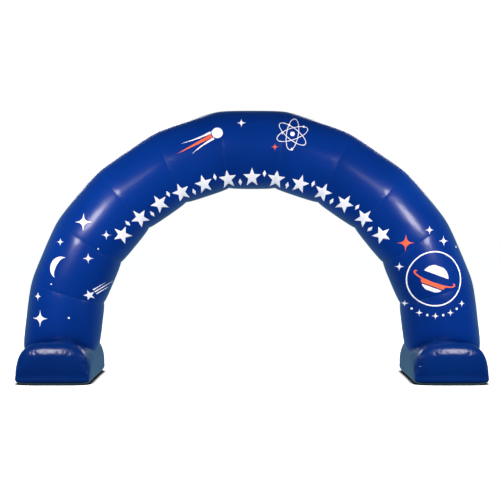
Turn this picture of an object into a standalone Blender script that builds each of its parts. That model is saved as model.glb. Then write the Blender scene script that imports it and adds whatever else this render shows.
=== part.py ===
"""Inflatable arch: eleven mitred tube panels sewn into one bow, on two loaf-shaped air feet.

Frame: metres, +Z up, +X across the arch to the viewer's right, -Y to the viewer. The origin lies on the
ground, midway between the feet. Every solid is one air-filled panel or foot in its blown-up shape.
"""
import math

import bmesh
import bpy
from mathutils import Vector

# Bow: its centreline is a polygon round a point on the mid plane, a little tighter at the legs
PANELS = 11
TURN = math.radians(16.22)
CENTRE_HEIGHT = 0.382
CROWN_RADIUS = 2.624
LEG_RADIUS = 2.502
LEG_ANGLE = math.radians(76.0)

# Tube: it narrows slightly from the crown to the legs
TUBE_RADIUS_CROWN = 0.505
TUBE_RADIUS_LEG = 0.487
PANEL_BULGE = 0.008
SEAM_DRAW = 0.012
SEAM_REACH = 0.030
TUBE_SIDES = 28
PANEL_RINGS = (0.0, 0.035, 0.10, 0.30, 0.50, 0.70, 0.90, 0.965, 1.0)
LEG_RINGS = (0.0, 0.05, 0.10, 0.16, 0.22, 0.28, 0.34, 0.42, 0.55, 0.75, 0.90, 0.965, 1.0)
SEAM_GAP = 0.0003

# Foot: a loaf with flat underside, round shoulders and slightly bulged end panels
FOOT_OFFSET = 2.503
FOOT_HALF_WIDTH = 0.481
FOOT_HEIGHT = 0.575
FOOT_SEAM_DEPTH = 0.680
FOOT_END_BULGE = 0.070
FOOT_TOE_BOW = 0.050
FOOT_SHOULDER_POWER = 3.4
FOOT_NARROWING = 0.050
FOOT_LOWERING = 0.160
FOOT_LOWERING_POWER = 6.0
FOOT_WALL_SHARE = 0.30
SIDE_LIFT = 0.022
END_LIFT = 0.006
CORNER_LIFT = 0.022
SIDE_FLAT_SHARE = 0.80
END_FLAT_SHARE = 0.88
CORNER_EAR = 0.014
SIDE_SEAM_DRAW = 0.028
FOOT_CUTS = 11

# Leg: its lower end is gathered where it is sewn to the top of the foot
LEG_SINK = 0.075
GATHER = 0.048
GATHER_REACH = 0.055
GATHER_LOWEST = 0.360
FOOT_SEAT_GAP = 0.0004

# Colours and finish of the coated cloth
PANEL_BLUE = (0.004, 0.045, 0.285, 1.0)
FOOT_BLUE = (0.003, 0.030, 0.205, 1.0)
CLOTH_ROUGHNESS = 0.32


def clear_scene():
    for item in list(bpy.data.objects):
        bpy.data.objects.remove(item, do_unlink=True)


def cloth_material(name, colour):
    material = bpy.data.materials.new(name)
    material.use_nodes = True
    shader = material.node_tree.nodes["Principled BSDF"]
    shader.inputs["Base Color"].default_value = colour
    shader.inputs["Roughness"].default_value = CLOTH_ROUGHNESS
    shader.inputs["Metallic"].default_value = 0.0
    return material


def add_object(name, mesh_data, material):
    """Turn a bmesh into a named object with smooth faces and one material."""
    mesh_data.normal_update()
    mesh = bpy.data.meshes.new(name)
    mesh_data.to_mesh(mesh)
    mesh_data.free()
    mesh.shade_smooth()
    mesh.set_sharp_from_angle(angle=math.radians(50.0))
    mesh.materials.append(material)
    item = bpy.data.objects.new(name, mesh)
    bpy.context.scene.collection.objects.link(item)
    return item


def mix(start, end, share):
    return start + (end - start) * share


def signed_power(value, power):
    return math.copysign(abs(value) ** power, value)


# The bow

def seam_angle(index):
    """Angle of a mitre seam from the vertical; seam 0 is the left leg's lower end."""
    return (index - PANELS / 2.0) * TURN


def seam_centre(angle):
    share = abs(angle) / LEG_ANGLE
    corner_radius = mix(CROWN_RADIUS, LEG_RADIUS, share) / math.cos(TURN / 2.0)
    return Vector((math.sin(angle) * corner_radius, 0.0, CENTRE_HEIGHT + math.cos(angle) * corner_radius))


def seam_ring(angle, side_step):
    """A point of the mitre ellipse and the direction that points outward there."""
    share = abs(angle) / LEG_ANGLE
    tube_radius = mix(TUBE_RADIUS_CROWN, TUBE_RADIUS_LEG, share)
    turn_round = 2.0 * math.pi * side_step / TUBE_SIDES
    outward = Vector((math.sin(angle), 0.0, math.cos(angle)))
    radial = outward * (math.cos(turn_round) * tube_radius / math.cos(TURN / 2.0))
    across = Vector((0.0, math.sin(turn_round) * tube_radius, 0.0))
    return seam_centre(angle) + radial + across, (radial + across).normalized()


def loaf_height(offset):
    """Height of the foot's crown at a sideways distance from its middle."""
    share = min(abs(offset) / FOOT_HALF_WIDTH, 1.0)
    return FOOT_HEIGHT * (1.0 - share ** FOOT_SHOULDER_POWER) ** (1.0 / FOOT_SHOULDER_POWER)


def panel_form(share, length):
    """Outward offset along a panel: crowned in the middle, drawn in at both seams."""
    to_seam = min(share, 1.0 - share) * length
    crown = PANEL_BULGE * (1.0 - abs(2.0 * share - 1.0) ** 4)
    return crown - SEAM_DRAW * math.exp(-((to_seam / SEAM_REACH) ** 2))


def tube_panel(name, first, material):
    """One mitred panel of the tube, as a closed solid a hair short of its seams."""
    is_leg = first in (0, PANELS - 1)
    low_angle, high_angle = seam_angle(first), seam_angle(first + 1)
    if first == PANELS - 1:
        low_angle, high_angle = high_angle, low_angle
    length = (seam_centre(high_angle) - seam_centre(low_angle)).length
    low_share = -LEG_SINK / length if is_leg else SEAM_GAP / 2.0 / length
    high_share = 1.0 - SEAM_GAP / 2.0 / length
    form = bmesh.new()
    rings = []
    for ring_share in LEG_RINGS if is_leg else PANEL_RINGS:
        share = mix(low_share, high_share, ring_share)
        offset = panel_form(max(share, 0.5) if is_leg else share, length)
        ring = []
        for step in range(TUBE_SIDES):
            low, low_out = seam_ring(low_angle, step)
            high, high_out = seam_ring(high_angle, step)
            outward = low_out.lerp(high_out, max(share, 0.0)).normalized()
            point = low.lerp(high, share) + outward * offset
            if is_leg:
                point = gathered(point, outward)
            ring.append(form.verts.new(point))
        rings.append(ring)
    for lower, upper in zip(rings[:-1], rings[1:]):
        for step in range(TUBE_SIDES):
            after = (step + 1) % TUBE_SIDES
            form.faces.new((lower[step], lower[after], upper[after], upper[step]))
    form.faces.new(rings[0][::-1])
    form.faces.new(rings[-1])
    bmesh.ops.recalc_face_normals(form, faces=form.faces)
    return add_object(name, form, material)


def gathered(point, outward):
    """Draw a leg's wall inward just above its seam with the foot."""
    side = abs(point.x) - FOOT_OFFSET
    seam_height = max(loaf_height(side), GATHER_LOWEST)
    above = max(point.z - seam_height, 0.0)
    return point - outward * (GATHER * math.exp(-above / GATHER_REACH))


# The feet

def loaf_outline(turn_over):
    """Point of the loaf's arched outline; 0 is the inner lower edge and pi the outer one."""
    power = 2.0 / FOOT_SHOULDER_POWER
    return (-FOOT_HALF_WIDTH * signed_power(math.cos(turn_over), power),
            FOOT_HEIGHT * abs(math.sin(turn_over)) ** power)


def loaf_section(u, w):
    """Fill the loaf's outline from its four sides; u runs across and w up, both from -1 to 1."""
    across, up = (u + 1.0) / 2.0, (w + 1.0) / 2.0
    wall_turn = math.pi * FOOT_WALL_SHARE
    wall_x, wall_z = loaf_outline(wall_turn * up)
    top_x, top_z = loaf_outline(mix(wall_turn, math.pi - wall_turn, across))
    corner_x, corner_z = loaf_outline(wall_turn)
    x = mix(FOOT_HALF_WIDTH * u, top_x, up) - wall_x * u - mix(FOOT_HALF_WIDTH * u, -corner_x * u, up)
    z = top_z * up + wall_z - corner_z * up
    return x, z


def rim_lift(u, v):
    """How far the underside's rim stands off the ground; nought on its flat middle."""
    side = max((abs(u) - SIDE_FLAT_SHARE) / (1.0 - SIDE_FLAT_SHARE), 0.0) ** 2
    end = max((abs(v) - END_FLAT_SHARE) / (1.0 - END_FLAT_SHARE), 0.0) ** 2
    return SIDE_LIFT * side + END_LIFT * end + CORNER_LIFT * side * end


def foot_point(u, v, w):
    """Blown-up place of a point on the faces of a cube of side 2."""
    x, z = loaf_section(u, w)
    low = (1.0 - w) / 2.0
    toward_end = abs(v) ** FOOT_LOWERING_POWER
    x *= 1.0 - FOOT_NARROWING * toward_end
    z *= 1.0 - FOOT_LOWERING * toward_end
    z += rim_lift(u, v) * low
    end_crown = FOOT_END_BULGE * ((1.0 - u ** 4) * (1.0 - w ** 4)) ** 0.5
    toe_bow = FOOT_TOE_BOW * (1.0 - u ** 4) * low ** 2
    y = v * (FOOT_SEAM_DEPTH + max(end_crown, toe_bow))
    ear = CORNER_EAR * abs(u * v) ** 12 * low ** 6
    draw = SIDE_SEAM_DRAW * (1.0 - v ** 2 / 2.0) * low ** 6
    x += math.copysign(ear, u) - u * draw
    y += math.copysign(ear, v)
    return x, y, z


def spread(share):
    """Crowd the grid towards the cube's edges, where the loaf turns."""
    return (share + math.sin(share * math.pi / 2.0)) / 2.0


def foot_mesh(side, swell):
    """The foot's closed surface, grown outward by swell."""
    form = bmesh.new()
    bmesh.ops.create_cube(form, size=2.0)
    bmesh.ops.subdivide_edges(form, edges=form.edges, cuts=FOOT_CUTS, use_grid_fill=True)
    for vertex in form.verts:
        vertex.co = Vector(foot_point(*[spread(share) for share in vertex.co]))
    form.normal_update()
    for vertex in form.verts:
        vertex.co = vertex.co + vertex.normal * swell + Vector((side * FOOT_OFFSET, 0.0, 0.0))
    return form


def seat_on_foot(leg, side, material):
    """Cut the leg's lower end to the foot's top, a hair above it."""
    cutter = add_object(leg.name + "_seat", foot_mesh(side, FOOT_SEAT_GAP), material)
    cutter.hide_render = True
    cutter.display_type = "WIRE"
    cut = leg.modifiers.new("seat", "BOOLEAN")
    cut.operation = "DIFFERENCE"
    cut.solver = "EXACT"
    cut.object = cutter


def main():
    clear_scene()
    panel_blue = cloth_material("panel_blue", PANEL_BLUE)
    foot_blue = cloth_material("foot_blue", FOOT_BLUE)
    panels = [tube_panel(f"panel_{index + 1:02d}", index, panel_blue) for index in range(PANELS)]
    for name, side, leg in (("foot_left", -1.0, panels[0]), ("foot_right", 1.0, panels[-1])):
        add_object(name, foot_mesh(side, 0.0), foot_blue)
        seat_on_foot(leg, side, foot_blue)


main()
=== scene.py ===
# %% [markdown]
# # An inflatable arch
#
# The real thing is a bow of eleven sleeves of coated cloth, sewn end to end, that stands on two
# air-filled feet. Air presses the cloth round, and the sewn seams hold it in, so each seam is a shallow
# groove with small puckers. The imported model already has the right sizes. This lesson gives every
# sleeve and foot its blown-up cloth, its finish and its prints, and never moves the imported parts.

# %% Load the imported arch
import math

import bmesh
import bpy
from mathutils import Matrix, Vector, noise
from mathutils.bvhtree import BVHTree


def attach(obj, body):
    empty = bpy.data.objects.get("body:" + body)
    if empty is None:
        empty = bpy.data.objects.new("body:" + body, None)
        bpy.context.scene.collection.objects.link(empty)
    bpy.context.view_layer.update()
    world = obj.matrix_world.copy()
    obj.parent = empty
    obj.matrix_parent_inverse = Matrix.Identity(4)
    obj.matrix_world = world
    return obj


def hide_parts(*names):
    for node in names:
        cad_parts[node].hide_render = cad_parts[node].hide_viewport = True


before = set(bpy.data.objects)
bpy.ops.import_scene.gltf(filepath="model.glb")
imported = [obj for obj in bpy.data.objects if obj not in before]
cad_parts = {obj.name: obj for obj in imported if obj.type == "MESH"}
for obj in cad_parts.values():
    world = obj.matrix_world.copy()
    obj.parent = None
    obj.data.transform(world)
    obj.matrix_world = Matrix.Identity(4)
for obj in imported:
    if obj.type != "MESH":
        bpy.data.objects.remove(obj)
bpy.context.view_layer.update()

# %% [markdown]
# ## Camera
#
# The photograph is taken from straight in front, a little above the middle of the passage, from about
# fourteen metres away. A long lens from far off keeps both legs upright. The camera stays level, and a
# small lens shift moves the frame instead of tilting the camera, as an architect's photographer does.

# %% Camera in front of the arch
CAMERA_DISTANCE = 13.98
CAMERA_HEIGHT = 1.94
SENSOR_WIDTH_MM = 36.0
LENS_MM = 76.4
FRAME_PIXELS = 500.0
ARCH_AXIS_PIXEL = 252.0
EYE_LEVEL_PIXEL = 230.0


def link(item):
    bpy.context.scene.collection.objects.link(item)


camera_data = bpy.data.cameras.new("camera")
camera_data.sensor_width = SENSOR_WIDTH_MM
camera_data.lens = LENS_MM
camera_data.shift_x = (FRAME_PIXELS / 2.0 - ARCH_AXIS_PIXEL) / FRAME_PIXELS
camera_data.shift_y = (EYE_LEVEL_PIXEL - FRAME_PIXELS / 2.0) / FRAME_PIXELS
camera = bpy.data.objects.new("camera", camera_data)
camera.location = (0.0, -CAMERA_DISTANCE, CAMERA_HEIGHT)
camera.rotation_euler = (math.radians(90.0), 0.0, 0.0)
link(camera)
bpy.context.scene.camera = camera
print("camera distance", CAMERA_DISTANCE, "m, lens", LENS_MM, "mm")

# %% [markdown]
# ## The bow's own measures
#
# The sleeves lie on a circle, so one angle per seam places them all. A mitre seam is an ellipse, because
# a round tube is cut at a slant there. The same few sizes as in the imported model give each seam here,
# so the cloth lands on its solid without any fitting.

# %% Sizes of the bow
PANELS = 11
TURN = math.radians(16.22)
CENTRE_HEIGHT = 0.382
CROWN_RADIUS = 2.624
LEG_RADIUS = 2.502
LEG_ANGLE = math.radians(76.0)
TUBE_RADIUS_CROWN = 0.505
TUBE_RADIUS_LEG = 0.487
PANEL_BULGE = 0.008
SEAM_DRAW = 0.003
SEAM_REACH = 0.030
SEAM_GAP = 0.0004


def mix(start, end, share):
    return start + (end - start) * share


def seam_angle(index):
    """Angle of a mitre seam from the vertical; seam 0 is the left leg's lower end."""
    return (index - PANELS / 2.0) * TURN


def seam_centre(angle):
    share = abs(angle) / LEG_ANGLE
    corner_radius = mix(CROWN_RADIUS, LEG_RADIUS, share) / math.cos(TURN / 2.0)
    return Vector((math.sin(angle) * corner_radius, 0.0, CENTRE_HEIGHT + math.cos(angle) * corner_radius))


def seam_point(angle, turn_round):
    """A point of the mitre ellipse and the direction that points outward there."""
    tube_radius = mix(TUBE_RADIUS_CROWN, TUBE_RADIUS_LEG, abs(angle) / LEG_ANGLE)
    outward = Vector((math.sin(angle), 0.0, math.cos(angle)))
    radial = outward * (math.cos(turn_round) * tube_radius / math.cos(TURN / 2.0))
    across = Vector((0.0, math.sin(turn_round) * tube_radius, 0.0))
    return seam_centre(angle) + radial + across, (radial + across).normalized()


def panel_form(share, length):
    """Outward offset along a sleeve: crowned in the middle, drawn in at both seams."""
    to_seam = min(share, 1.0 - share) * length
    crown = PANEL_BULGE * (1.0 - abs(2.0 * share - 1.0) ** 4)
    return crown - SEAM_DRAW * math.exp(-((to_seam / SEAM_REACH) ** 2))


print("seam angles:", [round(math.degrees(seam_angle(index)), 1) for index in range(PANELS + 1)])

# %% [markdown]
# ## Sizes of a foot
#
# A foot is a loaf of cloth: one long piece goes over it from side to side, and a panel closes each end.
# Blown up, its shoulders are round, its ends bulge, and its underside lies flat but for the rim, which
# lifts a little. The formula takes a point on a cube and gives its place on the blown-up loaf.

# %% Shape of a foot
FOOT_OFFSET = 2.503
FOOT_HALF_WIDTH = 0.481
FOOT_HEIGHT = 0.575
FOOT_SEAM_DEPTH = 0.680
FOOT_END_BULGE = 0.070
FOOT_TOE_BOW = 0.050
FOOT_TOP_LEAN = 0.025
FOOT_SHOULDER_POWER = 3.4
FOOT_NARROWING = 0.050
FOOT_LOWERING = 0.105
FOOT_LOWERING_POWER = 6.0
FOOT_WALL_SHARE = 0.30
SIDE_LIFT = 0.020
END_LIFT = 0.030
SIDE_FLAT_SHARE = 0.80
END_FLAT_SHARE = 0.88
CORNER_EAR = 0.026
EAR_POWER, EAR_LOW_POWER = 14, 8
TOP_RISE_POWER, TOP_RISE_ROUND = 2.2, 0.85
SIDE_SEAM_DRAW = 0.028
SEAT_DIP = 0.12
SEAT_HUMP_OFFSET = 0.124
SEAT_HUMP_WIDTH = 0.13
SEAT_NEAR, SEAT_FAR = 0.50, 0.68


def loaf_outline(turn_over):
    """Point of the loaf's arched outline; 0 is one lower edge and pi the other."""
    power = 2.0 / FOOT_SHOULDER_POWER
    side = math.cos(turn_over)
    return (-FOOT_HALF_WIDTH * math.copysign(abs(side) ** power, side),
            FOOT_HEIGHT * abs(math.sin(turn_over)) ** power)


def loaf_section(u, w):
    """Fill the loaf's outline from its four sides; u runs across and w up, both from -1 to 1."""
    across, up = (u + 1.0) / 2.0, (w + 1.0) / 2.0
    wall_turn = math.pi * FOOT_WALL_SHARE
    wall_x, wall_z = loaf_outline(wall_turn * up)
    top_x, top_z = loaf_outline(mix(wall_turn, math.pi - wall_turn, across))
    corner_x, corner_z = loaf_outline(wall_turn)
    x = mix(FOOT_HALF_WIDTH * u, top_x, up) - wall_x * u - mix(FOOT_HALF_WIDTH * u, -corner_x * u, up)
    z = top_z * up + wall_z - corner_z * up
    return x, z


def rim_lift(u, v):
    """How far the underside's rim stands off the ground; nought on its flat middle."""
    side = max((abs(u) - SIDE_FLAT_SHARE) / (1.0 - SIDE_FLAT_SHARE), 0.0) ** 2
    end = max((abs(v) - END_FLAT_SHARE) / (1.0 - END_FLAT_SHARE), 0.0) ** 2
    return SIDE_LIFT * side + END_LIFT * end


def seat_dip(inward, v, w):
    """How far the leg presses the top down, as a share of its height; inward is towards the passage."""
    off_hump = 1.0 - math.exp(-(((inward * FOOT_HALF_WIDTH - SEAT_HUMP_OFFSET) / SEAT_HUMP_WIDTH) ** 2))
    from_leg = (abs(v) * FOOT_SEAM_DEPTH - SEAT_NEAR) / (SEAT_FAR - SEAT_NEAR)
    from_leg = min(max(from_leg, 0.0), 1.0)
    near_leg = 1.0 - from_leg ** 2 * (3.0 - 2.0 * from_leg)
    return SEAT_DIP * off_hump * near_leg * ((1.0 + w) / 2.0) ** 2


def foot_point(u, v, w, side):
    """Blown-up place of a point on the faces of a cube of side 2; side is -1 left and 1 right."""
    x, z = loaf_section(u, w)
    z *= 1.0 - seat_dip(-side * u, v, w)
    low = (1.0 - w) / 2.0
    toward_end = abs(v) ** FOOT_LOWERING_POWER
    x *= 1.0 - FOOT_NARROWING * toward_end
    z *= 1.0 - FOOT_LOWERING * toward_end
    z += rim_lift(u, v) * low
    if w > 0.0:
        end_rise = (1.0 - w ** TOP_RISE_POWER) ** TOP_RISE_ROUND
    else:
        end_rise = (1.0 - w ** 4) ** 0.5
    end_crown = FOOT_END_BULGE * (1.0 - u ** 4) ** 0.5 * end_rise
    toe_bow = FOOT_TOE_BOW * (1.0 - u ** 4) * low ** 2
    y = v * (FOOT_SEAM_DEPTH - FOOT_TOP_LEAN * (1.0 - low) ** 4 + max(end_crown, toe_bow))
    ear = CORNER_EAR * abs(u * v) ** EAR_POWER * low ** EAR_LOW_POWER
    draw = SIDE_SEAM_DRAW * (1.0 - v ** 2 / 2.0) * low ** 6
    x += math.copysign(ear, u) - u * draw
    y += math.copysign(ear, v)
    return Vector((x, y, z))


print("foot:", 2.0 * FOOT_HALF_WIDTH, "m wide,", 2.0 * (FOOT_SEAM_DEPTH + FOOT_END_BULGE), "m deep")

# %% [markdown]
# ## Two maps on every piece of cloth
#
# A weave follows the cloth, not the room, so each piece gets a map in metres called "cloth". Stitching
# and grime follow the seams, so a second map called "seam" holds the distance along the nearest seam and
# the distance from it. The finishes read these maps by name.

# %% Mesh with its two maps
MAPS = ("cloth", "seam")


def cloth_object(name, points, faces, cloth_map, seam_map):
    """Make an object whose face corners carry the two maps, given as one pair for each corner."""
    mesh = bpy.data.meshes.new(name)
    mesh.from_pydata(points, [], faces)
    for layer_name, corners in zip(MAPS, (cloth_map, seam_map)):
        layer = mesh.uv_layers.new(name=layer_name)
        layer.uv.foreach_set("vector", [value for pair in corners for value in pair])
    mesh.shade_smooth()
    piece = bpy.data.objects.new(name, mesh)
    link(piece)
    return piece


print("maps on each piece:", MAPS)

# %% [markdown]
# ## Foot cloth before the air
#
# The grid is a cube cut into small squares, crowded towards its edges, where the loaf turns. Which
# corner lies on which seam is known from the cube, so the seam distance is worked out at the same time.

# %% Grid of a foot
FOOT_CUTS = 45


def spread(share):
    """Crowd the grid towards the cube's edges."""
    return (share + math.sin(share * math.pi / 2.0)) / 2.0


def foot_maps(corner, axis):
    """Cloth and seam coordinates of one cube point, seen from the face that looks along axis."""
    half = (FOOT_HALF_WIDTH, FOOT_SEAM_DEPTH, FOOT_HEIGHT / 2.0)
    across, up = [index for index in range(3) if index != axis]
    cloth = (corner[across] * half[across], corner[up] * half[up])
    to_edges = [(1.0 - abs(corner[across])) * half[across], (1.0 - abs(corner[up])) * half[up]]
    if axis == 1:
        nearest = 0 if to_edges[0] < to_edges[1] else 1
    else:
        nearest = 0 if across == 1 else 1
        to_bottom = (1.0 + corner[2]) * half[2]
        if axis == 0 and to_bottom < to_edges[nearest]:
            return cloth, (cloth[0], to_bottom)
    return cloth, (cloth[1 - nearest], to_edges[nearest])


def foot_grid(name, side):
    form = bmesh.new()
    bmesh.ops.create_cube(form, size=2.0)
    bmesh.ops.subdivide_edges(form, edges=form.edges, cuts=FOOT_CUTS, use_grid_fill=True)
    form.verts.index_update()
    corners = [tuple(spread(share) for share in vertex.co) for vertex in form.verts]
    faces, cloth_map, seam_map = [], [], []
    for face in form.faces:
        axis = max(range(3), key=lambda index: abs(face.normal[index]))
        ring = [vertex.index for vertex in face.verts]
        faces.append(ring)
        for index in ring:
            cloth, seam = foot_maps(corners[index], axis)
            cloth_map.append(cloth)
            seam_map.append(seam)
    form.free()
    points = [foot_point(*corner, side) + Vector((side * FOOT_OFFSET, 0.0, 0.0)) for corner in corners]
    return cloth_object(name, points, faces, cloth_map, seam_map), corners


print("squares in a foot:", 6 * (FOOT_CUTS + 1) ** 2)

# %% [markdown]
# ## Air
#
# Blender's Cloth blows the pieces up: it pushes every point outward and lets the cloth stretch and fold.
# Points at a sewn edge are pinned. A negative shrink makes the cloth there a little too long for its
# seam, and that is what puckers it, as thread does on the real arch. All pieces of a step run side by
# side, and no point may move further than a cap, so the arch keeps its size. The cap is lower where the
# cloth is tight.

# %% Blowing up
AIR_FRAMES = 20
AIR_PRESSURE = 4.0
CLOTH_STIFFNESS = 15.0
FOLD_STIFFNESS = 0.10
CLOTH_MASS = 0.3
TIGHT_SHARE = 0.25


def weigh(piece, name, weights):
    """Write one weight for each point into a vertex group."""
    group = piece.vertex_groups.new(name=name)
    for index, weight in enumerate(weights):
        group.add([index], weight, "REPLACE")


def add_air(piece, slack):
    """Cloth under pressure, pinned by the group pin and loosened by the group slack."""
    air = piece.modifiers.new("air", "CLOTH")
    air.collision_settings.use_collision = False
    air.point_cache.frame_start = 1
    air.point_cache.frame_end = AIR_FRAMES
    settings = air.settings
    settings.quality = 5
    settings.mass = CLOTH_MASS
    settings.tension_stiffness = CLOTH_STIFFNESS
    settings.compression_stiffness = CLOTH_STIFFNESS
    settings.shear_stiffness = CLOTH_STIFFNESS / 2.0
    settings.bending_stiffness = FOLD_STIFFNESS
    settings.use_pressure = True
    settings.uniform_pressure_force = AIR_PRESSURE
    settings.vertex_group_mass = "pin"
    settings.pin_stiffness = 1.0
    settings.vertex_group_shrink = "slack"
    settings.shrink_min = 0.0
    settings.shrink_max = -slack
    settings.effector_weights.gravity = 0.0


def blow_up(pieces, slack, cap):
    """Run the air on all pieces, cap each point's move and leave plain meshes behind."""
    for piece in pieces:
        add_air(piece, slack)
    for number in range(1, AIR_FRAMES + 1):
        bpy.context.scene.frame_set(number)
    depsgraph = bpy.context.evaluated_depsgraph_get()
    furthest = 0.0
    for piece in pieces:
        blown = [vertex.co.copy() for vertex in piece.evaluated_get(depsgraph).data.vertices]
        piece.modifiers.clear()
        looseness = piece.vertex_groups["slack"]
        for vertex, place in zip(piece.data.vertices, blown):
            move = place - vertex.co
            furthest = max(furthest, move.length)
            allowed = cap * mix(TIGHT_SHARE, 1.0, looseness.weight(vertex.index))
            vertex.co += move * min(1.0, allowed / max(move.length, allowed / 1000.0))
    bpy.context.scene.frame_set(1)
    print("blown up", len(pieces), "pieces, furthest point", round(furthest * 1000.0, 1), "mm")


def refine(piece):
    """Replace the mesh by its once subdivided form."""
    smoother = piece.modifiers.new("finer", "SUBSURF")
    smoother.levels = 1
    smoother.render_levels = 1
    depsgraph = bpy.context.evaluated_depsgraph_get()
    finer = bpy.data.meshes.new_from_object(piece.evaluated_get(depsgraph))
    piece.modifiers.clear()
    piece.data = finer
    piece.vertex_groups.clear()
    finer.shade_smooth()


print("air pressure", AIR_PRESSURE, "for", AIR_FRAMES, "frames")

# %% [markdown]
# ## The two feet
#
# The underside is pinned, because it lies on the ground. The four low corners, the upper seam of each end
# panel and the seat under the leg are pinned too. The rest is free, and it is loosest low down at the
# ends, so the air draws its folds there.

# %% Blow up the feet
FOOT_SLACK = 0.020
FOOT_CAP = 0.014
EDGE = 0.9999
SEAT_HALF_LENGTH = 0.52
LOW_CORNER = 0.90
END_ZONE = 0.6
TOP_SLACK = 0.05
MIDDLE_SLACK = 0.5
LOW_POWER = 1.4


def foot_pin(corner):
    u, v, w = (abs(share) for share in corner)
    if corner[2] < -EDGE:
        return 1.0
    if v > LOW_CORNER and u > LOW_CORNER and corner[2] < -LOW_CORNER:
        return 1.0
    if v > EDGE and corner[2] > EDGE:
        return 1.0
    if corner[2] > EDGE and v < SEAT_HALF_LENGTH:
        return 1.0
    return 0.0


def foot_slack(corner):
    """Loose at the end panels' upright and lower seams, tight over the top."""
    near_end = max(abs(corner[1]) - END_ZONE, 0.0) / (1.0 - END_ZONE)
    low = (1.0 - corner[2]) / 2.0
    return mix(TOP_SLACK, 1.0, low ** LOW_POWER) * mix(MIDDLE_SLACK, 1.0, near_end)


feet = {}
for side, name in ((-1.0, "left"), (1.0, "right")):
    foot, corners = foot_grid(f"air_foot_{name}", side)
    weigh(foot, "pin", [foot_pin(corner) for corner in corners])
    weigh(foot, "slack", [foot_slack(corner) for corner in corners])
    feet[name] = foot
blow_up(list(feet.values()), FOOT_SLACK, FOOT_CAP)
for foot in feet.values():
    for vertex in foot.data.vertices:
        vertex.co.z = max(vertex.co.z, 0.0)
    refine(foot)
print("foot points:", len(feet["left"].data.vertices))

# %% [markdown]
# ## The eleven sleeves
#
# Each sleeve is a grid of rings between two seams. A leg's lowest ring is found by walking down the
# sleeve until it meets the foot, because it is sewn on there. Just above that seam the wall is gathered.

# %% Grid of a sleeve
TUBE_SIDES = 192
TUBE_RINGS = 28
RING_CROWDING = 0.5
GATHER = 0.048
GATHER_REACH = 0.055
GATHER_LOWEST = 0.330
LEG_SINK = 0.165
SEARCH_STEPS = 24
RIPPLE = 0.0015
RIPPLE_SIZE = 0.09


def loaf_height(offset):
    share = min(abs(offset) / FOOT_HALF_WIDTH, 1.0)
    seated = FOOT_HEIGHT * (1.0 - SEAT_DIP)
    return seated * (1.0 - share ** FOOT_SHOULDER_POWER) ** (1.0 / FOOT_SHOULDER_POWER)


def gathered(point, outward):
    """Draw a leg's wall inward just above its seam with the foot."""
    seam_height = max(loaf_height(abs(point.x) - FOOT_OFFSET), GATHER_LOWEST)
    above = max(point.z - seam_height, 0.0)
    return point - outward * (GATHER * math.exp(-above / GATHER_REACH))


class Sleeve:
    """The ruled sleeve between two seams; share runs from the lower seam to the upper one."""

    def __init__(self, first):
        self.first = first
        self.is_leg = first in (0, PANELS - 1)
        self.low_angle, self.high_angle = seam_angle(first), seam_angle(first + 1)
        if first == PANELS - 1:
            self.low_angle, self.high_angle = self.high_angle, self.low_angle
        self.length = (seam_centre(self.high_angle) - seam_centre(self.low_angle)).length

    def point(self, share, turn_round):
        low, low_out = seam_point(self.low_angle, turn_round)
        high, high_out = seam_point(self.high_angle, turn_round)
        outward = low_out.lerp(high_out, min(max(share, 0.0), 1.0)).normalized()
        offset = panel_form(max(share, 0.5) if self.is_leg else share, self.length)
        place = low.lerp(high, share) + outward * offset
        if self.is_leg:
            place = gathered(place, outward)
        return place, outward

    def lowest_share(self, turn_round, foot_tree):
        """Where a leg's wall meets its foot."""
        above, below = 0.5, -LEG_SINK / self.length
        for _ in range(SEARCH_STEPS):
            middle = (above + below) / 2.0
            place = self.point(middle, turn_round)[0]
            nearest, normal = foot_tree.find_nearest(place)[:2]
            if (place - nearest).dot(normal) > 0.0:
                above = middle
            else:
                below = middle
        return above


def sleeve_grid(name, sleeve, foot_tree):
    points, cloth, seams = [], [], []
    gap = SEAM_GAP / 2.0 / sleeve.length
    for step in range(TUBE_SIDES):
        turn_round = 2.0 * math.pi * step / TUBE_SIDES
        low_share = sleeve.lowest_share(turn_round, foot_tree) if foot_tree else gap
        start = sleeve.point(low_share, turn_round)[0]
        reach = (sleeve.point(1.0, turn_round)[0] - start).length
        for ring in range(TUBE_RINGS):
            even = ring / (TUBE_RINGS - 1.0)
            crowded = even - RING_CROWDING * math.sin(2.0 * math.pi * even) / (2.0 * math.pi)
            place, outward = sleeve.point(mix(low_share, 1.0 - gap, crowded), turn_round)
            ripple = RIPPLE * noise.noise(place / RIPPLE_SIZE) * math.sin(math.pi * even)
            points.append(place + outward * ripple)
            cloth.append(crowded * reach)
            seams.append(min(crowded, 1.0 - crowded) * reach)
    faces, cloth_map, seam_map = [], [], []
    side_length = 2.0 * math.pi * TUBE_RADIUS_CROWN / TUBE_SIDES
    for step in range(TUBE_SIDES):
        after = (step + 1) % TUBE_SIDES
        for ring in range(TUBE_RINGS - 1):
            corners = ((step, ring, 0), (step, ring + 1, 0), (after, ring + 1, 1), (after, ring, 1))
            faces.append([column * TUBE_RINGS + row for column, row, _ in corners])
            for column, row, ahead in corners:
                index = column * TUBE_RINGS + row
                round_tube = (step + ahead) * side_length
                cloth_map.append((round_tube, cloth[index]))
                seam_map.append((round_tube, seams[index]))
    if sleeve.first == PANELS - 1:
        faces = [face[::-1] for face in faces]
        cloth_map = reversed_corners(cloth_map)
        seam_map = reversed_corners(seam_map)
    return cloth_object(name, points, faces, cloth_map, seam_map)


def reversed_corners(pairs):
    """Turn the four corners of each face round, as its points are."""
    return [pair for start in range(0, len(pairs), 4) for pair in pairs[start:start + 4][::-1]]


print("sleeve lengths:", [round(Sleeve(first).length, 3) for first in range(PANELS)])

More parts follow.
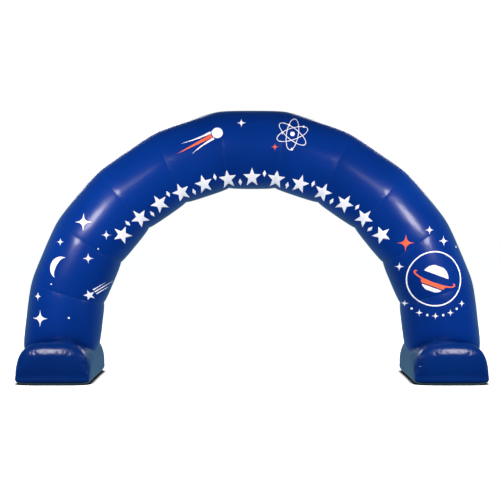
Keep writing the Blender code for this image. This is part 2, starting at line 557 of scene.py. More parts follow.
# %% [markdown]
# ## Blow up the sleeves
#
# Both ends of a sleeve are sewn, so both end rings are pinned. The cloth is loose only next to its seams,
# which keeps the middle of each sleeve tight and smooth, as on the real arch.

# %% Blow up the sleeves
TUBE_SLACK = 0.030
TUBE_CAP = 0.014
SLACK_REACH = 0.11


def slack_weight(to_seam):
    return math.exp(-((to_seam / SLACK_REACH) ** 2))


def point_seam_distances(piece):
    """Read the seam distance of each point back from the seam map."""
    distances = [0.0] * len(piece.data.vertices)
    layer = piece.data.uv_layers["seam"]
    for loop in piece.data.loops:
        distances[loop.vertex_index] = layer.uv[loop.index].vector.y
    return distances


def surface_tree(piece):
    return BVHTree.FromObject(piece, bpy.context.evaluated_depsgraph_get())


sleeves = []
foot_under = {0: surface_tree(feet["left"]), PANELS - 1: surface_tree(feet["right"])}
for first in range(PANELS):
    piece = sleeve_grid(f"tube_sleeve_{first + 1:02d}", Sleeve(first), foot_under.get(first))
    distances = point_seam_distances(piece)
    weigh(piece, "pin", [1.0 if index % TUBE_RINGS in (0, TUBE_RINGS - 1) else 0.0
                         for index in range(len(distances))])
    weigh(piece, "slack", [slack_weight(distance) for distance in distances])
    sleeves.append(piece)
blow_up(sleeves, TUBE_SLACK, TUBE_CAP)
for piece in sleeves:
    refine(piece)
print("sleeve points:", len(sleeves[0].data.vertices))

# %% [markdown]
# ## Keep to the seams and close the ends
#
# Folds next to a seam may not cross into the next sleeve, so points are held on their own side of the
# mitre. Then each end is closed inside, where nothing shows: a filled piece is one closed skin. A leg's
# lower end is closed along the top of its foot.

# %% Mitre planes and closed ends
CLOSING_RINGS = 6
SEAT_GAP = 0.0006
SHARP_ANGLE = math.radians(55.0)
DOWN = Vector((0.0, 0.0, -1.0))


def hold_in_mitre(piece, angle, sign):
    """Move points that crossed the mitre plane back to their own side of it."""
    normal = Vector((math.cos(angle), 0.0, -math.sin(angle))) * sign
    centre = Vector((0.0, 0.0, CENTRE_HEIGHT))
    for vertex in piece.data.vertices:
        depth = (vertex.co - centre).dot(normal)
        if depth < SEAM_GAP / 2.0:
            vertex.co += normal * (SEAM_GAP / 2.0 - depth)


def open_loops(form):
    """The rings of points at the open ends, each in order."""
    edges = {edge for edge in form.edges if edge.is_boundary}
    loops = []
    while edges:
        edge = min(edges, key=lambda one: one.index)
        edges.discard(edge)
        start, vertex = edge.verts
        loop = [start, vertex]
        while vertex != start:
            edge = next(one for one in vertex.link_edges if one in edges)
            edges.discard(edge)
            vertex = edge.other_vert(vertex)
            loop.append(vertex)
        loops.append(loop[:-1])
    return loops


def close_ends(piece, foot_tree):
    form = bmesh.new()
    form.from_mesh(piece.data)
    for loop in open_loops(form):
        middle = sum((vertex.co for vertex in loop), Vector()) / len(loop)
        on_foot = foot_tree is not None and middle.z < CENTRE_HEIGHT + TUBE_RADIUS_LEG / 2.0
        outer = loop
        for number in range(1, CLOSING_RINGS):
            share = number / CLOSING_RINGS
            inner = []
            for vertex in loop:
                place = vertex.co.lerp(middle, share)
                if on_foot:
                    above = place - DOWN * FOOT_HEIGHT
                    place.z = foot_tree.ray_cast(above, DOWN)[0].z + SEAT_GAP
                inner.append(form.verts.new(place))
            for index in range(len(loop)):
                after = (index + 1) % len(loop)
                form.faces.new((outer[index], outer[after], inner[after], inner[index]))
            outer = inner
        form.faces.new(outer)
    bmesh.ops.recalc_face_normals(form, faces=form.faces)
    form.to_mesh(piece.data)
    form.free()
    piece.data.shade_smooth()
    piece.data.set_sharp_from_angle(angle=SHARP_ANGLE)


for first, piece in enumerate(sleeves):
    if first > 0:
        hold_in_mitre(piece, seam_angle(first), 1.0)
    if first < PANELS - 1:
        hold_in_mitre(piece, seam_angle(first + 1), -1.0)
    close_ends(piece, foot_under.get(first))
print("sleeve points with closed ends:", len(sleeves[5].data.vertices))

# %% [markdown]
# ## Node helpers for the finishes
#
# A finish is a small graph of nodes. A few helpers keep it readable: one adds a node and plugs in sockets
# or numbers, and the others make a sum, a ramp, a cloudy pattern, a blend of two colours or a relief.

# %% Node helpers
def new_finish(name):
    material = bpy.data.materials.new(name)
    material.use_nodes = True
    return material, material.node_tree, material.node_tree.nodes["Principled BSDF"]


def add_node(tree, kind, inputs=None, **settings):
    made = tree.nodes.new(kind)
    for key, value in settings.items():
        setattr(made, key, value)
    for key, value in (inputs or {}).items():
        if isinstance(value, bpy.types.NodeSocket):
            tree.links.new(value, made.inputs[key])
        else:
            made.inputs[key].default_value = value
    return made


def sum_node(tree, operation, first, second=0.0, third=0.0):
    return add_node(tree, "ShaderNodeMath", {0: first, 1: second, 2: third}, operation=operation).outputs[0]


def times(tree, first, second):
    return sum_node(tree, "MULTIPLY", first, second)


def ramp(tree, value, low, high):
    """0 below low, 1 above high, smooth between."""
    sockets = {"Value": value, "From Min": low, "From Max": high, "To Min": 0.0, "To Max": 1.0}
    return add_node(tree, "ShaderNodeMapRange", sockets, interpolation_type="SMOOTHSTEP").outputs["Result"]


def fade(tree, value, low, high):
    """1 below low, 0 above high, smooth between."""
    return sum_node(tree, "SUBTRACT", 1.0, ramp(tree, value, low, high))


def cloudy(tree, place, scale, detail=3.0, roughness=0.5):
    sockets = {"Vector": place, "Scale": scale, "Detail": detail, "Roughness": roughness}
    return add_node(tree, "ShaderNodeTexNoise", sockets).outputs["Fac"]


def blend_colour(tree, share, first, second):
    made = add_node(tree, "ShaderNodeMix", data_type="RGBA")
    for socket, value in ((made.inputs[0], share), (made.inputs[6], first), (made.inputs[7], second)):
        if isinstance(value, bpy.types.NodeSocket):
            tree.links.new(value, socket)
        else:
            socket.default_value = value
    return made.outputs[2]


def relief(tree, height, distance, strength=1.0, below=None):
    """A bump of this height, laid over the one below."""
    sockets = {"Height": height, "Distance": distance, "Strength": strength}
    if below is not None:
        sockets["Normal"] = below
    return add_node(tree, "ShaderNodeBump", sockets).outputs[0]


def map_pair(tree, name):
    """The two values of a named map."""
    layer = add_node(tree, "ShaderNodeUVMap", uv_map=name)
    split = add_node(tree, "ShaderNodeSeparateXYZ", {0: layer.outputs["UV"]})
    return split.outputs["X"], split.outputs["Y"]


print("finishes read the maps", MAPS)

# %% [markdown]
# ## Coated cloth
#
# The cloth is a fine polyester weave with a glossy airtight coating. Up close it shows the weave and a
# grid of stronger threads, from afar only long soft highlights that waver a little. The colour is nearly
# even: large faint clouds, a darker line along the seams and two rows of stitching beside them. On the
# feet the blues are darker as painted shade, pale scuffs lie near the ground, and painted shade darkens
# the cloth close to the ground.

# %% Coated cloth finish
TUBE_BLUES = ((0.0008, 0.021, 0.160, 1.0), (0.0010, 0.028, 0.205, 1.0))
# The feet's blues are darker than the sleeves' as painted shade.
FOOT_SHADED_BLUES = ((0.0008, 0.017, 0.112, 1.0), (0.0010, 0.021, 0.140, 1.0))
WEAVE_PITCH = 0.0011
STRONG_THREAD_PITCH = 0.0055
STITCH_LENGTH = 0.0042
STITCH_WIDTH = 0.0007
STITCH_ROWS = (0.004, 0.011)
STITCH_BLUE = (0.010, 0.085, 0.42, 1.0)
STITCH_SHARE = 0.4
FELL_WIDTH = 0.015
FELL_EDGE = 0.001
# A darker line along each seam.
SEAM_LINE_BLUE = (0.001, 0.008, 0.050, 1.0)
SEAM_LINE_WIDTH = 0.010
SEAM_LINE_SHARE = 0.15
SCUFF_GREY = (0.20, 0.25, 0.34, 1.0)
SCUFF_REACH = (0.02, 0.22)
SCUFF_SHARE = 0.03
SCUFF_DULLNESS = 1.2
# Painted shade: the feet's cloth goes nearly black close to the ground.
CONTACT_SHADE_BLACK = (0.0005, 0.001, 0.004, 1.0)
CONTACT_SHADE_HEIGHT = 0.075
CONTACT_SHADE_SHARE = 0.92
CLOTH_SPECULAR = 0.34
COAT = 0.12
COAT_ROUGHNESS = 0.12


def weave_height(tree, x, y):
    """Plain weave with a stronger thread at even steps both ways."""
    turns = 2.0 * math.pi / WEAVE_PITCH
    fine_x, fine_y = [sum_node(tree, "SINE", times(tree, way, turns)) for way in (x, y)]
    height = times(tree, fine_x, fine_y)
    for way in (x, y):
        step = sum_node(tree, "PINGPONG", way, STRONG_THREAD_PITCH / 2.0)
        height = sum_node(tree, "ADD", height, fade(tree, step, 0.0, WEAVE_PITCH / 2.0))
    return height


def stitch_mask(tree, along, away):
    """Two rows of stitches beside the seam."""
    dash = ramp(tree, sum_node(tree, "PINGPONG", along, STITCH_LENGTH / 2.0), 0.0003, 0.0006)
    rows = []
    for row in STITCH_ROWS:
        off = sum_node(tree, "ABSOLUTE", sum_node(tree, "SUBTRACT", away, row))
        rows.append(times(tree, fade(tree, off, STITCH_WIDTH / 2.0, STITCH_WIDTH), dash))
    return sum_node(tree, "MAXIMUM", rows[0], rows[1])


def scuffed_and_shaded_low_down(tree, place, colour, roughness):
    """Pale scuffs, and painted shade that darkens the cloth near the ground."""
    height = add_node(tree, "ShaderNodeSeparateXYZ", {0: place}).outputs["Z"]
    marks = ramp(tree, cloudy(tree, place, 24.0, 6.0, 0.65), 0.52, 0.68)
    scuffs = times(tree, times(tree, marks, fade(tree, height, *SCUFF_REACH)), SCUFF_SHARE)
    colour = blend_colour(tree, scuffs, colour, SCUFF_GREY)
    roughness = sum_node(tree, "ADD", roughness, times(tree, scuffs, SCUFF_DULLNESS))
    # Painted shade: darken the cloth close to the ground.
    contact_shade = times(tree, fade(tree, height, 0.0, CONTACT_SHADE_HEIGHT), CONTACT_SHADE_SHARE)
    return blend_colour(tree, contact_shade, colour, CONTACT_SHADE_BLACK), roughness


def coated_cloth(name, deep, bright, worn_and_shaded):
    material, tree, shader = new_finish(name)
    place = add_node(tree, "ShaderNodeTexCoord").outputs["Object"]
    x, y = map_pair(tree, "cloth")
    along, away = map_pair(tree, "seam")

    clouds = ramp(tree, cloudy(tree, place, 1.1), 0.30, 0.70)
    colour = blend_colour(tree, clouds, deep, bright)
    stitches = stitch_mask(tree, along, away)
    # A darker line along each seam.
    seam_line = times(tree, fade(tree, away, 0.0, SEAM_LINE_WIDTH), SEAM_LINE_SHARE)
    colour = blend_colour(tree, seam_line, colour, SEAM_LINE_BLUE)
    colour = blend_colour(tree, times(tree, stitches, STITCH_SHARE), colour, STITCH_BLUE)
    roughness = sum_node(tree, "MULTIPLY_ADD", cloudy(tree, place, 7.0), 0.08, 0.26)
    # Pale scuffs on the feet, and painted shade near the ground.
    if worn_and_shaded:
        colour, roughness = scuffed_and_shaded_low_down(tree, place, colour, roughness)
    tree.links.new(colour, shader.inputs["Base Color"])
    tree.links.new(roughness, shader.inputs["Roughness"])

    waver = relief(tree, cloudy(tree, place, 5.0, 2.0, 0.45), 0.010, 0.35)
    stretched = add_node(tree, "ShaderNodeCombineXYZ", {0: along, 1: times(tree, away, 0.25)}).outputs[0]
    tucks = times(tree, cloudy(tree, stretched, 38.0, 2.0, 0.5), fade(tree, away, 0.01, 0.10))
    tucked = relief(tree, tucks, 0.003, 0.6, waver)
    fell = fade(tree, away, FELL_WIDTH - FELL_EDGE, FELL_WIDTH)
    sewn = relief(tree, sum_node(tree, "ADD", fell, times(tree, stitches, 0.6)), 0.0008, 0.25, tucked)
    woven = relief(tree, weave_height(tree, x, y), 0.00005, 0.15, sewn)
    tree.links.new(woven, shader.inputs["Normal"])
    shader.inputs["Specular IOR Level"].default_value = CLOTH_SPECULAR
    shader.inputs["Coat Weight"].default_value = COAT
    shader.inputs["Coat Roughness"].default_value = COAT_ROUGHNESS
    return material


tube_cloth = coated_cloth("tube_cloth_finish", *TUBE_BLUES, False)
# The feet's finish: darker blues as painted shade, and painted shade near the ground.
foot_shaded_cloth = coated_cloth("foot_shaded_cloth_finish", *FOOT_SHADED_BLUES, True)
for pieces, finish in ((sleeves, tube_cloth), (feet.values(), foot_shaded_cloth)):
    for piece in pieces:
        piece.data.materials.clear()
        piece.data.materials.append(finish)
    print(finish.name, "has", len(finish.node_tree.nodes), "nodes")

# %% [markdown]
# ## Printing on a curved sleeve
#
# The prints are inks on the cloth, so each shape has to follow every sleeve and seam under it. A shape is
# drawn flat as seen from the front, cut into small cells, and each point is then carried straight back
# until it meets the cloth. A hair's thickness makes it a film of its own with a crisp edge.

# %% Lay a flat shape on the cloth
PRINT_CELL = 0.012
PRINT_HEIGHT = 0.0012
PRINT_THICKNESS = 0.0006
FRONT = -3.0
BACKWARD = Vector((0.0, 1.0, 0.0))
cloth_trees = [surface_tree(piece) for piece in sleeves]


def on_cloth(x, z):
    """The frontmost point of the cloth at a place seen from the front, lifted by the ink's height."""
    hits = [tree.ray_cast(Vector((x, FRONT, z)), BACKWARD) for tree in cloth_trees]
    hits = [hit for hit in hits if hit[0] is not None]
    if not hits:
        return None
    place, normal = min(hits, key=lambda hit: hit[0].y)[:2]
    return place + normal * PRINT_HEIGHT


def cut_into_cells(outline):
    """One flat outline as a bmesh of cells no wider than the print cell."""
    flat = bmesh.new()
    flat.faces.new([flat.verts.new((x, 0.0, z)) for x, z in outline])
    flat.normal_update()
    bmesh.ops.triangulate(flat, faces=flat.faces)
    for axis in (0, 2):
        reach = [vertex.co[axis] for vertex in flat.verts]
        line = math.ceil(min(reach) / PRINT_CELL) * PRINT_CELL
        while line < max(reach):
            point, normal = [0.0, 0.0, 0.0], [0.0, 0.0, 0.0]
            point[axis], normal[axis] = line, 1.0
            bmesh.ops.bisect_plane(flat, geom=flat.verts[:] + flat.edges[:] + flat.faces[:],
                                   plane_co=point, plane_no=normal, dist=0.00001)
            line += PRINT_CELL
    return flat


def print_film(name, outlines, material):
    """Cut flat outlines into cells, lay them on the cloth and give them the ink's thickness."""
    points, faces = [], []
    for outline in outlines:
        flat = cut_into_cells(outline)
        flat.verts.index_update()
        places = [on_cloth(vertex.co.x, vertex.co.z) for vertex in flat.verts]
        start = len(points)
        points += [place or Vector() for place in places]
        for face in flat.faces:
            corners = [vertex.index for vertex in face.verts]
            if all(places[corner] for corner in corners):
                faces.append([start + corner for corner in corners])
        flat.free()
    mesh = bpy.data.meshes.new(name)
    mesh.from_pydata(points, [], faces)
    form = bmesh.new()
    form.from_mesh(mesh)
    bmesh.ops.delete(form, geom=[vertex for vertex in form.verts if not vertex.link_faces], context="VERTS")
    bmesh.ops.remove_doubles(form, verts=form.verts, dist=0.00005)
    bmesh.ops.recalc_face_normals(form, faces=form.faces)
    if sum(face.normal.y for face in form.faces) > 0.0:
        bmesh.ops.reverse_faces(form, faces=form.faces)
    form.to_mesh(mesh)
    form.free()
    mesh.shade_smooth()
    mesh.materials.append(material)
    film = bpy.data.objects.new(name, mesh)
    link(film)
    thick = film.modifiers.new("ink", "SOLIDIFY")
    thick.thickness = PRINT_THICKNESS
    thick.offset = -1.0
    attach(film, "root")
    print(name, len(mesh.polygons), "cells")
    return film


print("cloth at the middle of the crown:", on_cloth(0.0, CENTRE_HEIGHT + CROWN_RADIUS))

# %% [markdown]
# ## Inks
#
# Screen ink is thicker than dye and a little duller than the coating. White lets a trace of the blue
# through, unevenly, and both inks take on the weave below and fine cracks from folding.

# %% Ink finish
CRACK_SCALE = 22.0
CRACK_WIDTHS = (0.002, 0.010)
CRACK_SHARE = 0.10
CRACK_BLUE = (0.05, 0.12, 0.35, 1.0)
INK_SPECULAR = 0.40


def ink(name, full, thin):
    material, tree, shader = new_finish(name)
    place = add_node(tree, "ShaderNodeTexCoord").outputs["Object"]
    cover = ramp(tree, cloudy(tree, place, 9.0, 4.0), 0.25, 0.60)
    colour = blend_colour(tree, cover, thin, full)
    cracks = add_node(tree, "ShaderNodeTexVoronoi", {"Vector": place, "Scale": CRACK_SCALE},
                      feature="DISTANCE_TO_EDGE").outputs["Distance"]
    crack_line = times(tree, fade(tree, cracks, *CRACK_WIDTHS), CRACK_SHARE)
    colour = blend_colour(tree, crack_line, colour, CRACK_BLUE)
    tree.links.new(colour, shader.inputs["Base Color"])
    roughness = sum_node(tree, "MULTIPLY_ADD", cloudy(tree, place, 30.0), 0.12, 0.30)
    tree.links.new(roughness, shader.inputs["Roughness"])
    weave = add_node(tree, "ShaderNodeTexWave", {"Vector": place, "Scale": 900.0 / (2.0 * math.pi)})
    tree.links.new(relief(tree, weave.outputs["Fac"], 0.00005), shader.inputs["Normal"])
    shader.inputs["Specular IOR Level"].default_value = INK_SPECULAR
    return material


white_ink = ink("white_ink_finish", (0.98, 0.96, 0.97, 1.0), (0.88, 0.90, 0.93, 1.0))
orange_ink = ink("orange_ink_finish", (0.86, 0.145, 0.055, 1.0), (0.74, 0.115, 0.050, 1.0))
print("inks:", white_ink.name, orange_ink.name)

# %% [markdown]
# ## Shapes of the motifs
#
# Each motif is a short formula for an outline: a star with straight sides, a sparkle with hollow sides, a
# disc, a band between two ellipses, and a crescent. Lengths are metres on the arch's front.

# %% Outlines
SPARKLE_STEPS = 48


def turned(outline, x, z, lean):
    """An outline turned by lean and moved to x, z."""
    c, s = math.cos(lean), math.sin(lean)
    return [(x + px * c - pz * s, z + px * s + pz * c) for px, pz in outline]


def star(x, z, reach, waist, points=5, lean=0.0):
    """A star of straight sides; waist is the share of the reach at its inner corners."""
    corners = []
    for step in range(2 * points):
        radius = reach if step % 2 == 0 else reach * waist
        angle = math.pi / 2.0 + lean + math.pi * step / points
        corners.append((x + radius * math.cos(angle), z + radius * math.sin(angle)))
    return corners


def sparkle(x, z, reach, slim=0.50, lean=0.0):
    """A four-pointed star whose sides are hollow arcs."""
    corners = []
    for step in range(SPARKLE_STEPS):
        angle = 2.0 * math.pi * step / SPARKLE_STEPS
        c, s = abs(math.cos(angle)), abs(math.sin(angle))
        radius = reach / (c ** slim + s ** slim) ** (1.0 / slim)
        corners.append((x + radius * math.cos(angle + lean), z + radius * math.sin(angle + lean)))
    return corners


def disc(x, z, radius, sides=40):
    turns = [2.0 * math.pi * step / sides for step in range(sides)]
    return [(x + radius * math.cos(turn), z + radius * math.sin(turn)) for turn in turns]


def band(x, z, long_radius, short_radius, width, lean=0.0, start=0.0, end=360.0, steps=72):
    """Part of an elliptic band, as short four-cornered pieces; angles in degrees."""
    pieces = []
    for step in range(steps):
        corners = []
        for share, half in ((step, -0.5), (step + 1, -0.5), (step + 1, 0.5), (step, 0.5)):
            turn = math.radians(mix(start, end, share / steps))
            corners.append(((long_radius + half * width) * math.cos(turn),
                            (short_radius + half * width) * math.sin(turn)))
        pieces.append(turned(corners, x, z, lean))
    return pieces


def crescent(x, z, radius, lean=0.0, thickness=0.55, steps=28):
    """A moon between two arcs with the same ends."""
    corners = []
    for step in range(steps + 1):
        angle = math.pi / 2.0 + math.pi * step / steps
        corners.append((math.cos(angle) * radius, math.sin(angle) * radius))
    for step in range(1, steps):
        angle = 1.5 * math.pi - math.pi * step / steps
        corners.append((math.cos(angle) * radius * (1.0 - thickness), math.sin(angle) * radius))
    return turned(corners, x, z, lean)


def on_bow(angle, radius):
    """Place on the arch's front from an angle off the vertical and a distance from the bow's centre."""
    turn = math.radians(angle)
    return math.sin(turn) * radius, CENTRE_HEIGHT + math.cos(turn) * radius


print("crown of the bow's middle line:", on_bow(0.0, CROWN_RADIUS))

# %% [markdown]
# ## The star row along the bow
#
# The widest print follows the inner edge of the bow. It is a row of white five-pointed stars with small
# diamonds between them, now above and now below the row's line.

# %% Star row
ROW_RADIUS = 2.235
ROW_HALF_ANGLE = 48.0
ROW_STARS = 13
STAR_REACH = 0.118
STAR_WAIST = 0.42
DIAMOND_REACH = 0.042
DIAMOND_SWAY = 0.052
DIAMOND_WAIST = 0.55

row = []
for number in range(2 * ROW_STARS - 1):
    angle = mix(-ROW_HALF_ANGLE, ROW_HALF_ANGLE, number / (2.0 * ROW_STARS - 2.0))
    if number % 2 == 0:
        x, z = on_bow(angle, ROW_RADIUS)
        row.append(star(x, z, STAR_REACH, STAR_WAIST, lean=-math.radians(angle)))
    else:
        sway = DIAMOND_SWAY if number % 4 == 1 else -DIAMOND_SWAY
        x, z = on_bow(angle, ROW_RADIUS + sway)
        row.append(star(x, z, DIAMOND_REACH, DIAMOND_WAIST, points=2, lean=-math.radians(angle)))
print_film("star_row_print", row, white_ink)

# %% [markdown]
# ## Comet and orbits on the crown
#
# Over the row fly a comet with a white head and a split tail in white and orange, and a small knot of thin
# orbits with a dot on each.

# %% Comet and orbits
COMET_ANGLE = -9.0
COMET_RADIUS = 2.83
COMET_HEAD = 0.070
COMET_HEADING = math.radians(28.0)
COMET_STREAKS = ((0.045, 0.40, 0.050), (-0.045, 0.34, -0.045))
STREAK_WIDTH = 0.030
TAIL_LENGTH, TAIL_WIDTH = 0.50, 0.050
ORBIT_ANGLE = 10.5
ORBIT_RADIUS = 2.83
ORBIT_LONG = 0.21
ORBIT_SHORT = 0.075
ORBIT_WIDTH = 0.009
ORBIT_LEANS_AND_DOTS = ((20.0, 35.0), (80.0, 200.0), (140.0, 300.0))
KERNEL_RADIUS = 0.030
ORBIT_DOT_RADIUS = 0.016


def behind(x, z, heading, back, aside=0.0):
    """Place a way back from a head and a little aside of its path."""
    return (x - aside * math.sin(heading) - back * math.cos(heading),
            z + aside * math.cos(heading) - back * math.sin(heading))


def streak(x, z, heading, length, width, bow):
    """A tail that starts at x, z, runs back from the heading and thins to a point."""
    left, right = [], []
    for step in range(17):
        share = step / 16.0
        half = width / 2.0 * (1.0 - share) ** 0.8
        back = -length * share
        sideways = bow * share * share
        for line, edge in ((left, half), (right, -half)):
            across = sideways + edge
            line.append((x + back * math.cos(heading) - across * math.sin(heading),
                         z + back * math.sin(heading) + across * math.cos(heading)))
    return left + right[-2::-1]


comet_x, comet_z = on_bow(COMET_ANGLE, COMET_RADIUS)
comet_head = [disc(comet_x, comet_z, COMET_HEAD)]
for aside, length, bow in COMET_STREAKS:
    x, z = behind(comet_x, comet_z, COMET_HEADING, COMET_HEAD, aside)
    comet_head.append(streak(x, z, COMET_HEADING, length, STREAK_WIDTH, bow))
print_film("comet_print", comet_head, white_ink)
x, z = behind(comet_x, comet_z, COMET_HEADING, 1.15 * COMET_HEAD)
comet_tail = [streak(x, z, COMET_HEADING, TAIL_LENGTH, TAIL_WIDTH, 0.0)]
print_film("comet_tail_print", comet_tail, orange_ink)

orbit_x, orbit_z = on_bow(ORBIT_ANGLE, ORBIT_RADIUS)
orbits = [disc(orbit_x, orbit_z, KERNEL_RADIUS)]
for lean_degrees, dot_degrees in ORBIT_LEANS_AND_DOTS:
    lean, dot = math.radians(lean_degrees), math.radians(dot_degrees)
    orbits += band(orbit_x, orbit_z, ORBIT_LONG, ORBIT_SHORT, ORBIT_WIDTH, lean)
    on_orbit = (ORBIT_LONG * math.cos(dot), ORBIT_SHORT * math.sin(dot))
    x, z = turned([on_orbit], orbit_x, orbit_z, lean)[0]
    orbits.append(disc(x, z, ORBIT_DOT_RADIUS, 16))
print_film("orbit_print", orbits, white_ink)

# %% [markdown]
# ## Moon, comet and planet on the legs
#
# The left leg carries a crescent moon and a small comet. The right leg carries the largest single print:
# a ringed and banded planet inside a white circle, with an arc of small stars under it.

# %% Motifs on the legs
MOON_PLACE = (-2.435, 1.455)
MOON_RADIUS = 0.145
MOON_LEAN = math.radians(-28.0)
SMALL_COMET_PLACE = (-2.085, 1.105)
SMALL_COMET_HEADING = math.radians(212.0)
SMALL_COMET_REACH = 0.070
SMALL_STREAKS = ((0.032, 0.17), (-0.032, 0.17), (0.0, 0.25))
SMALL_STREAK_START, SMALL_STREAK_WIDTH = 0.075, 0.016
PLANET_PLACE = (2.325, 1.320)
BADGE_RADIUS = 0.345
BADGE_WIDTH = 0.016
PLANET_RADIUS = 0.175
PLANET_LEAN = math.radians(-20.0)
WHITE_BANDS = ((0.055, 0.165), (-0.165, -0.115))
ORANGE_BAND = (-0.100, -0.062)
RING_RADII, RING_WIDTH, RING_ENDS = (0.270, 0.060), 0.024, (158.0, 382.0)
ARC_RADIUS, ARC_ENDS, ARC_MARKS = 0.475, (224.0, 318.0), 9
ARC_STAR_REACH, ARC_DOT_RADIUS = 0.046, 0.015


def disc_slice(radius, low, high, steps=14):
    """The part of a disc between two heights."""
    right = []
    for step in range(steps + 1):
        height = mix(low, high, step / steps)
        right.append((math.sqrt(max(radius ** 2 - height ** 2, 0.0)), height))
    return right + [(-x, z) for x, z in reversed(right)]


print_film("moon_print", [crescent(*MOON_PLACE, MOON_RADIUS, MOON_LEAN)], white_ink)
small = [star(*SMALL_COMET_PLACE, SMALL_COMET_REACH, STAR_WAIST, lean=0.3)]
for aside, length in SMALL_STREAKS:
    x, z = behind(*SMALL_COMET_PLACE, SMALL_COMET_HEADING, SMALL_STREAK_START, aside)
    small.append(streak(x, z, SMALL_COMET_HEADING, length, SMALL_STREAK_WIDTH, 0.0))
print_film("small_comet_print", small, white_ink)

planet_x, planet_z = PLANET_PLACE
white_parts = band(planet_x, planet_z, BADGE_RADIUS, BADGE_RADIUS, BADGE_WIDTH)
for low, high in WHITE_BANDS:
    white_parts.append(turned(disc_slice(PLANET_RADIUS, low, high), planet_x, planet_z, PLANET_LEAN))
print_film("planet_print", white_parts, white_ink)
orange_parts = [turned(disc_slice(PLANET_RADIUS, *ORANGE_BAND), planet_x, planet_z, PLANET_LEAN)]
orange_parts += band(planet_x, planet_z, *RING_RADII, RING_WIDTH, PLANET_LEAN, *RING_ENDS)
print_film("planet_ring_print", orange_parts, orange_ink)
arc = []
for number in range(ARC_MARKS):
    angle = math.radians(mix(*ARC_ENDS, number / (ARC_MARKS - 1.0)))
    x, z = planet_x + ARC_RADIUS * math.cos(angle), planet_z + ARC_RADIUS * math.sin(angle)
    arc.append(sparkle(x, z, ARC_STAR_REACH) if number % 2 == 0 else disc(x, z, ARC_DOT_RADIUS, 16))
print_film("dot_arc_print", arc, white_ink)

# %% [markdown]
# ## Loose stars
#
# Ordinary four-pointed stars and dots are strewn over the legs and the crown.

# %% Loose stars
LOOSE_STARS = (
    # x, z, reach
    (-2.147, 2.042, 0.115),
    (-1.855, 1.876, 0.060),
    (-2.452, 1.788, 0.052),
    (-2.084, 1.578, 0.068),
    (-2.745, 1.089, 0.052),
    (-2.706, 0.809, 0.110),
    (-0.136, 3.310, 0.062),
    (2.262, 1.940, 0.060),
    (2.452, 1.800, 0.070),
    (1.893, 1.470, 0.058),
)
LOOSE_DOTS = (
    # x, z, radius
    (-0.505, 3.190, 0.014),
    (0.392, 3.170, 0.014),
    (-1.960, 1.700, 0.010),
    (-2.560, 1.250, 0.010),
    (2.640, 1.720, 0.010),
    (-2.330, 0.820, 0.012),
)
RED_STARS = (
    # x, z, reach
    (1.957, 1.775, 0.110),
    (0.290, 2.995, 0.050),
)
white_stars = [sparkle(x, z, reach) for x, z, reach in LOOSE_STARS]
white_stars += [disc(x, z, radius, 16) for x, z, radius in LOOSE_DOTS]
print_film("loose_star_print", white_stars, white_ink)
print_film("red_star_print", [sparkle(x, z, reach) for x, z, reach in RED_STARS], orange_ink)

# %% [markdown]
# ## Light
#
# The arch is lit as in a studio. A small softbox near each shoulder gives the long streak there and the
# bright rim of the foot, and a fainter one further off carries the streak on towards the crown. Larger
# lights from the flanks and the front leave no highlight: they only make the blue even. One pair lights
# the back, and a wide weak light on the ground stands for what the pale floor throws back.

# %% Lights
LIGHT_TINT = (1.0, 0.93, 0.95)
BOUNCE_TINT = (0.86, 0.92, 1.0)
BOUNCE_HEIGHT = 0.003
BOUNCE_SIZE = 20.0
BOUNCE_POWER = 820.0
LIGHTS = (
    # name, place, aim, side length, power, seen as a highlight
    ("near", (3.20, -2.90, 2.66), (2.2, -0.5, 1.6), 0.74, 52.0, True),
    ("fill", (4.20, -9.20, 5.00), (1.6, -0.4, 2.6), 1.8, 36.0, True),
    ("flank", (6.30, -3.70, 5.20), (2.0, -0.4, 2.0), 2.4, 310.0, False),
    ("front", (2.50, -15.00, 5.00), (0.5, 0.0, 1.6), 5.0, 350.0, False),
    ("back", (4.00, 9.00, 6.00), (1.5, 0.0, 1.8), 4.0, 260.0, True),
)


def soft_light(name, place, aim, size, power, glossy, tint=LIGHT_TINT):
    data = bpy.data.lights.new(name, "AREA")
    data.shape = "SQUARE"
    data.size = size
    data.energy = power
    data.color = tint
    data.cycles.use_multiple_importance_sampling = glossy
    lamp = bpy.data.objects.new(name, data)
    lamp.location = place
    lamp.rotation_euler = (Vector(aim) - Vector(place)).to_track_quat("-Z", "Y").to_euler()
    lamp.visible_glossy = glossy
    link(lamp)


for name, place, aim, size, power, glossy in LIGHTS:
    for side, hand in ((-1.0, "left"), (1.0, "right")):
        soft_light(f"{name}_{hand}", (side * place[0], place[1], place[2]),
                   (side * aim[0], aim[1], aim[2]), size, power, glossy)
soft_light("bounce", (0.0, 0.0, BOUNCE_HEIGHT), (0.0, 0.0, 1.0), BOUNCE_SIZE, BOUNCE_POWER, False,
           BOUNCE_TINT)
print("lights:", 2 * len(LIGHTS) + 1)

# %% [markdown]
# ## Surroundings
#
# The camera sees pure white around the arch. The cloth mirrors a darker room, bright only low down behind
# the arch, which gives the tube's edges a pale rim and leaves the front a deep blue.

# %% Surroundings
WORLD_DARK = (0.020, 0.040, 0.060, 1.0)
WORLD_BRIGHT = (0.15, 0.31, 0.37, 1.0)
WHITE = (1.0, 1.0, 1.0, 1.0)
BACK_EDGE = (-0.15, 0.65)
ROOF_EDGE = (0.25, 0.80)

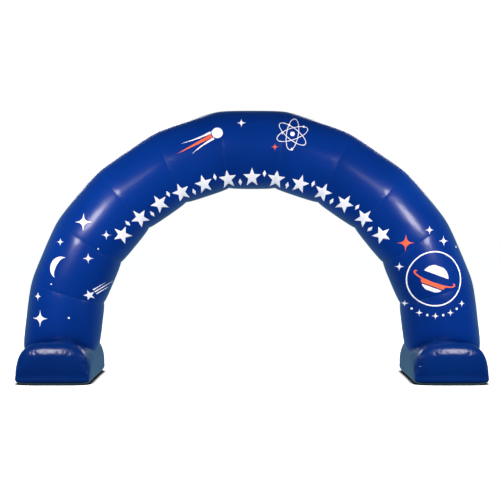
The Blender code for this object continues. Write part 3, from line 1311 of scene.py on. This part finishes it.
world = bpy.data.worlds.new("studio")
bpy.context.scene.world = world
world.use_nodes = True
sky = world.node_tree
background = sky.nodes["Background"]
way = add_node(sky, "ShaderNodeTexCoord").outputs["Generated"]
direction = add_node(sky, "ShaderNodeSeparateXYZ", {0: way})
at_back = ramp(sky, direction.outputs["Y"], *BACK_EDGE)
below_roof = fade(sky, direction.outputs["Z"], *ROOF_EDGE)
seen_light = blend_colour(sky, times(sky, at_back, below_roof), WORLD_DARK, WORLD_BRIGHT)
rays = add_node(sky, "ShaderNodeLightPath").outputs
seen_light = blend_colour(sky, rays["Is Camera Ray"], seen_light, WHITE)
sky.links.new(seen_light, background.inputs["Color"])
bpy.context.scene.view_settings.view_transform = "Standard"
print("surroundings:", world.name)

# %% [markdown]
# ## Ground
#
# The ground is as white as the room, so it shows no edge. A painted shadow darkens its colour and its glow
# in the narrow gap under the rim of a foot, which an occlusion node measures. It throws no light back,
# because the light on it does that.

# %% Ground
GROUND_SIZE = 160.0
GAP_REACH = 0.11
GAP_EDGE = (0.52, 0.80)
GROUND_GLOW = 0.96
# Painted shadow colour for the gap under a foot's rim.
GAP_SHADOW_BLACK = (0.008, 0.008, 0.012, 1.0)
GROUND_GREY = (0.82, 0.82, 0.82, 1.0)

form = bmesh.new()
bmesh.ops.create_grid(form, x_segments=8, y_segments=8, size=GROUND_SIZE / 2.0)
ground_mesh = bpy.data.meshes.new("ground")
form.to_mesh(ground_mesh)
form.free()
ground = bpy.data.objects.new("ground", ground_mesh)
link(ground)
ground_finish, ground_nodes, ground_shader = new_finish("pale_ground")
ground_shader.inputs["Roughness"].default_value = 0.9
ground_shader.inputs["Specular IOR Level"].default_value = 0.1
ground_shader.inputs["Emission Color"].default_value = WHITE
openness = add_node(ground_nodes, "ShaderNodeAmbientOcclusion", {"Distance": GAP_REACH}, samples=8)
# Painted shadow: colour and glow darken where the occlusion finds the gap under a foot closed in.
clear = ramp(ground_nodes, openness.outputs["AO"], *GAP_EDGE)
glow = times(ground_nodes, clear, GROUND_GLOW)
pale = blend_colour(ground_nodes, clear, GAP_SHADOW_BLACK, GROUND_GREY)
ground_nodes.links.new(glow, ground_shader.inputs["Emission Strength"])
ground_nodes.links.new(pale, ground_shader.inputs["Base Color"])
ground_mesh.materials.append(ground_finish)
ground.visible_glossy = False
ground.visible_diffuse = False
print("ground:", GROUND_SIZE, "m square")

# %% [markdown]
# ## Attach each piece
#
# Every sleeve and foot rides on the arch's one body and stands for its imported solid, which is hidden.
# All of them are filled with air.

# %% Attach the pieces
for first, piece in enumerate(sleeves):
    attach(piece, "root")
    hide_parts(f"panel_{first + 1:02d}")
for name, foot in feet.items():
    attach(foot, "root")
    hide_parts(f"foot_{name}")
